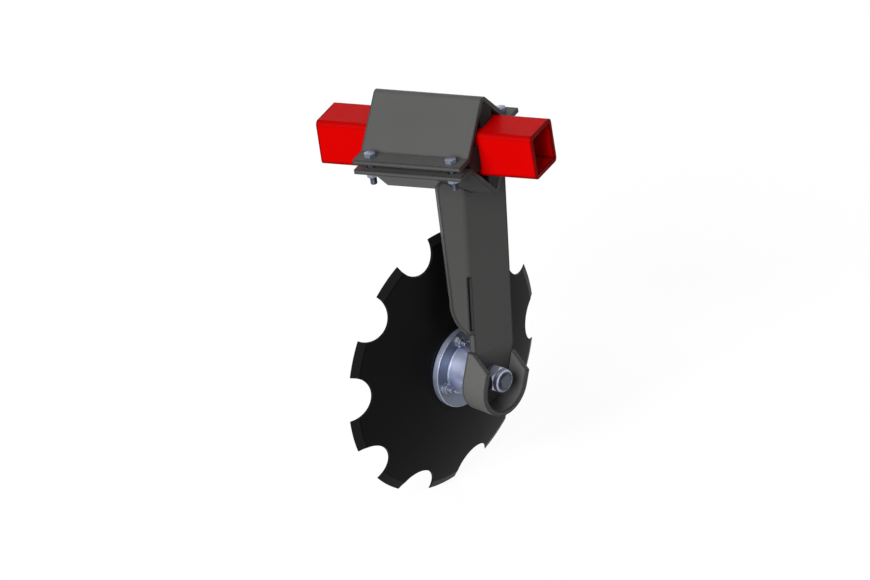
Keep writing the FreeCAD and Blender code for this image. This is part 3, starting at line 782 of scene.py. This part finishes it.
def rings_about_hub(finish, ring_count):
    """Fine rings about the hub's axis, so many to the metre, and the distance from that axis."""
    turn = hub_place.to_3x3().to_euler()
    spot = finish.node("ShaderNodeTexCoord", output="Object")
    sockets = {"Vector": spot, "Location": hub_point, "Rotation": turn}
    local = finish.node("ShaderNodeMapping", {"vector_type": "TEXTURE"}, sockets)
    across = finish.node("ShaderNodeVectorMath", {"operation": "MULTIPLY"}, {0: local, 1: (1, 1, 0)})
    radius = finish.node("ShaderNodeVectorMath", {"operation": "LENGTH"}, {0: across}, output="Value")
    height = finish.node("ShaderNodeSeparateXYZ", sockets={0: local}, output="Z")
    sockets = {"W": (radius + height) * ring_count, "Scale": 1.0, "Detail": 2}
    return finish.node("ShaderNodeTexNoise", {"noise_dimensions": "1D"}, sockets), radius


def facing_arm(finish):
    """1 on faces that look along the hub's axis towards the arm, and -1 on those that look away."""
    normal = finish.node("ShaderNodeTexCoord", output="Normal")
    sockets = {0: normal, 1: hub_axis}
    return finish.node("ShaderNodeVectorMath", {"operation": "DOT_PRODUCT"}, sockets, output="Value")


turned_zinc = Finish("turned_zinc", Metallic=0.85)
rings, _ = rings_about_hub(turned_zinc, lathe_rings)
film = turned_zinc.noise(lumps=55, detail=5)
plate = turned_zinc.mix(turned_zinc.step(film, low=0.35, high=0.70), darker(hub_blue, 0.92), hub_warm)
edge = turned_zinc.worn(reach=0.0035, ragged_by=film, start=0.008, full=0.06)
# Painted shade: faces that look along the hub's axis towards the arm get the darker zinc.
arm_side_painted_shade = turned_zinc.step(facing_arm(turned_zinc), low=0.90, high=0.99)
plate = turned_zinc.mix(arm_side_painted_shade, plate, hub_face_painted_shade)
turned_zinc.feed("Base Color", turned_zinc.mix(edge * 0.85, plate, darker(hub_blue, 0.05)))
turned_zinc.feed("Roughness", 0.32 + 0.14 * film + 0.08 * rings)
turned_zinc.bumps(rings + 0.4 * film, depth=0.00005)
hub_casting = eased(fair_copy("hub_housing", "hub_casting"), hub_edge, sharp=40)
fitted(hub_casting, turned_zinc.material, "hub", "hub_zinc", "hub_housing")

refinished(bolt_zinc, "dust_cap")
seal_rubber = Finish("seal_rubber", Specular_IOR_Level=0.3)
haze = seal_rubber.noise(lumps=500, detail=4)
seal_rubber.feed("Base Color", seal_rubber.mix(haze, seal_black, seal_grey))
seal_rubber.feed("Roughness", 0.55 + 0.15 * haze)
seal_rubber.bumps(haze, depth=0.00005)
refinished(seal_rubber.material, "hub_seal")


# The blade: 4 mm boron steel, pressed to a shallow dish with a flat seat, notched round its rim,
# ground to a bevel on the hub's side, hardened, and painted satin black.
blade_radius = 0.230
seat_radius = 0.077
blade_dish = 0.044
blade_thickness = 0.004
blade_seat_height = -0.066
spigot_hole = 0.0401
bevel_width = 0.014
rim_edge = 0.001
notch_count = 10
notch_radius = 0.040
first_notch = math.radians(12.345)
steps_on_rim = 14
steps_in_notch = 40
steps_on_dish = 14
corner_gap = math.radians(0.02)
rolled_rings = 260
border = 0.0005
line_half_width = 0.0006
line_fade = 0.0008
black_dim = (0.0034, 0.0034, 0.0034)
black_pale = (0.0080, 0.0080, 0.0080)
ground_grey = (0.022, 0.022, 0.022)
# Painted shade: near black for thin lines along the creases of the blade.
crease_shade_black = (0.0006, 0.0006, 0.0006)
rubbed_grey = (0.06, 0.06, 0.06)

seat_back = blade_seat_height - blade_thickness
rim_height = blade_seat_height - blade_dish
fall = seat_back - rim_height
centre_depth = (blade_radius ** 2 - seat_radius ** 2 + fall ** 2) / (2 * fall)
sphere_height = seat_back - centre_depth
hollow_radius = math.hypot(centre_depth, seat_radius)
crown_radius = hollow_radius + blade_thickness
crown_seat = seat_radius * crown_radius / hollow_radius
bevel_start = blade_radius - bevel_width


def on_sphere(radius, sphere):
    """Height at a radius on a sphere of the dish."""
    return sphere_height + math.sqrt(sphere ** 2 - radius ** 2)


def crown_height(radius):
    """Height of the convex side, with its flat seat and the ground bevel."""
    if radius <= crown_seat:
        return on_sphere(crown_seat, crown_radius)
    if radius <= bevel_start:
        return on_sphere(radius, crown_radius)
    share = (radius - bevel_start) / bevel_width
    return (1 - share) * on_sphere(bevel_start, crown_radius) + share * (rim_height + rim_edge)


def hollow_height(radius):
    """Height of the concave side, with its flat seat."""
    return on_sphere(max(radius, seat_radius), hollow_radius)


# The outline of the blade as (angle, reach). In a notch the reach is where a ray from the blade's
# middle meets the notch's circle, and between two notches it is the blade's radius. A hair's gap
# keeps the two points at a corner apart.
notch_half_angle = 2 * math.asin(notch_radius / 2 / blade_radius) - corner_gap
pitch_angle = math.tau / notch_count
blade_outline = []
for notch in range(notch_count):
    middle = first_notch + notch * pitch_angle
    for step in range(steps_in_notch + 1):
        swing = notch_half_angle * math.sin(math.pi * (step / steps_in_notch - 0.5))
        across = blade_radius * math.sin(swing)
        reach = blade_radius * math.cos(swing) - math.sqrt(notch_radius ** 2 - across ** 2)
        blade_outline.append((middle + swing, reach))
    rim_start = notch_half_angle + corner_gap
    for step in range(steps_on_rim + 1):
        share = step / steps_on_rim
        blade_outline.append((middle + rim_start + share * (pitch_angle - 2 * rim_start), blade_radius))


def blade_rows(height_at, radii):
    """Rows on one side of the blade, each pulled in to the outline where that is nearer."""
    rows = []
    for radius in radii:
        pulled_in = [min(radius, reach) for _, reach in blade_outline]
        rows.append([(reach, height_at(reach)) for reach in pulled_in])
    return rows


dish_radii = [
    crown_seat + (bevel_start - crown_seat) * step / steps_on_dish for step in range(steps_on_dish + 1)
]
ring_radii = [spigot_hole, *dish_radii, blade_radius]
rows = blade_rows(crown_height, ring_radii) + blade_rows(hollow_height, reversed(ring_radii))
blade_angles = [angle for angle, _ in blade_outline]
notched_blade = skin("notched_blade", blade_angles, rows, closed=True, sharp=6)
notched_blade.data.transform(hub_place)


def crease(finish, radius, at):
    """1 on the fine line where two faces of the blade meet at a radius, and 0 beside it."""
    return 1 - finish.step(abs(radius - at), line_half_width, line_half_width + line_fade)


blade_paint = Finish("blade_paint", Specular_IOR_Level=0.05)
rings, radius = rings_about_hub(blade_paint, rolled_rings)
cloud = blade_paint.noise(lumps=16, detail=5)
grain = blade_paint.noise(lumps=420, detail=4)
coat = blade_paint.mix(cloud * 0.5 + grain * 0.3 + rings * 0.2, black_dim, black_pale)
crown_side = blade_paint.step(facing_arm(blade_paint), low=0, high=0.2)
bevel = blade_paint.step(radius, bevel_start - border, bevel_start + border) * crown_side
coat = blade_paint.mix(bevel * 0.5, coat, ground_grey)
# Painted shade: thin near-black lines where the seat meets the dish, and where the bevel starts on the hub's
# side.
painted_crease_shade = crease(blade_paint, radius, bevel_start) * crown_side + crease(blade_paint, radius, crown_seat)
coat = blade_paint.mix(painted_crease_shade, coat, crease_shade_black)
edge = blade_paint.worn(reach=0.0010, ragged_by=grain, start=0.08, full=0.40)
blade_paint.feed("Base Color", blade_paint.mix(edge * 0.35, coat, rubbed_grey))
blade_paint.feed("Roughness", 0.38 + 0.12 * cloud + 0.06 * rings - 0.05 * bevel)
blade_paint.bumps(blade_paint.noise(lumps=560, detail=2) + 0.7 * rings, depth=0.00005)
fitted(notched_blade, blade_paint.material, "hub", "black_paint", "disc_blade")


# The blade's bolts and nuts: four M10 hexagon bolts with their heads in the hollow of the blade,
# and four self-locking nuts on the hub's flange. Zinc-plated, with rolled threads.
blade_bolt_flats = 0.017
blade_bolt_head = 0.0064
blade_bolt_radius = 0.005
blade_bolt_pitch = 0.0015
blade_bolt_length = 0.035
blade_bolt_threaded = 0.024
blade_nut_hex = 0.0075
blade_nut_top = 0.0105
bolt_circle_radius = 0.05725
first_bolt = math.radians(14.145)
bolt_count = 4
flange_back = -0.054

ring_of_copies = Pattern("ring_of_copies", {"Count": "Int", "Radius": "Float", "First angle": "Float"})
given = ring_of_copies.given
circle_sockets = {"Vertices": given.other("Count"), "Radius": given.other("Radius")}
circle = ring_of_copies.node("GeometryNodeMeshCircle", sockets=circle_sockets)
first_turn = ring_of_copies.node("ShaderNodeCombineXYZ", sockets={"Z": given.other("First angle")})
points = ring_of_copies.node("GeometryNodeTransform", sockets={"Geometry": circle, "Rotation": first_turn})
copy_number = ring_of_copies.node("GeometryNodeInputIndex")
turn = copy_number * math.tau / given.other("Count") + given.other("First angle")
ring_of_copies.repeat(points, ring_of_copies.node("ShaderNodeCombineXYZ", sockets={"Z": turn}))
bolt_ring = {
    "Count": bolt_count,
    "Radius": bolt_circle_radius,
    "First angle": first_bolt,
    "Material": nut_zinc,
}

head = skin(
    "blade_bolt_head", round_about(hex_columns), hex_rows(blade_bolt_flats, 0, blade_bolt_head), closed=False
)
shank = threaded_rod(
    "blade_bolt_shank", blade_bolt_radius, blade_bolt_pitch,
    -blade_bolt_length, blade_bolt_threaded - blade_bolt_length, high=blade_bolt_head / 2
)
blade_bolt = joined("blade_hex_bolts", head, shank)
blade_bolt.data.transform(Matrix.Translation((0, 0, seat_back)) @ upside_down)
ring_of_copies.put_on(blade_bolt, hub_place, **bolt_ring)
fitted(blade_bolt, nut_zinc, "hub", "zinc", "disc_bolts")

nut_rows = lock_nut_rows(
    blade_bolt_flats, blade_nut_hex, blade_nut_top, blade_bolt_radius + thread_clearance
)
blade_nut = skin("blade_lock_nuts", round_about(hex_columns), nut_rows, closed=True)
blade_nut.data.transform(Matrix.Translation((0, 0, flange_back)))
ring_of_copies.put_on(blade_nut, hub_place, **bolt_ring)
fitted(blade_nut, nut_zinc, "hub", "zinc", "disc_nuts")
